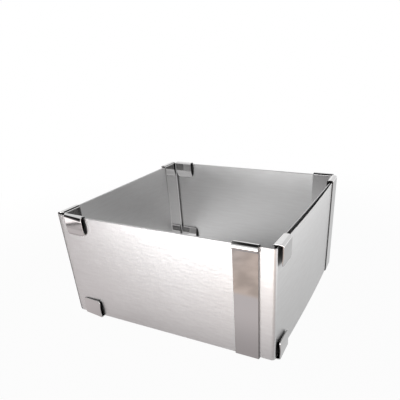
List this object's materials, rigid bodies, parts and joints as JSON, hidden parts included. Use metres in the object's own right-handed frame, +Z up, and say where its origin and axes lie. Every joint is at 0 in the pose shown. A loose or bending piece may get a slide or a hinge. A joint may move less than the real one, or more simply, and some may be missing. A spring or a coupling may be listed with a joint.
{
  "type": "adjustable square mousse ring",
  "caption": "Square bottomless dessert mould of bent sheets that slide past one another inside folded straps, so that its width and its depth both adjust.",
  "frame": {"origin": "middle of the plan, on the plane that the folded straps rest on", "axes": "+Z up through the open ring; +X along the front face from the hook to the strap beside the corner; +Y from the front face to the back face"},
  "size_m": [0.166, 0.1586, 0.0822],
  "materials": {
    "brushed_sheet": "fine grain along the sheet, satin",
    "polished_strap": "bright rolled, near mirror"
  },
  "bodies": {
    "front_panel": {"front_sheet": "brushed_sheet", "front_outer_strap": "polished_strap", "front_inner_strap": "polished_strap"},
    "right_panel": {"right_sheet": "brushed_sheet", "right_outer_strap": "polished_strap", "right_inner_strap": "polished_strap"},
    "back_panel": {"back_sheet": "brushed_sheet", "back_outer_strap": "polished_strap", "back_inner_strap": "polished_strap"},
    "left_panel": {"left_sheet": "brushed_sheet", "left_outer_strap": "polished_strap", "left_inner_strap": "polished_strap"}
  },
  "joints": [
    {"name": "width_slide", "type": "slide", "parent": "front_panel", "child": "right_panel", "axis": [1, 0, 0], "range_m": [0, 0.1114]},
    {"name": "depth_slide", "type": "slide", "parent": "front_panel", "child": "left_panel", "axis": [0, 1, 0], "range_m": [0, 0.1112]},
    {"name": "back_slide", "type": "slide", "parent": "right_panel", "child": "back_panel", "axis": [0, 1, 0], "range_m": [0, 0.1112]}
  ],
  "couplings": [
    {"joint": "back_slide", "follows": "depth_slide", "ratio": 1}
  ]
}
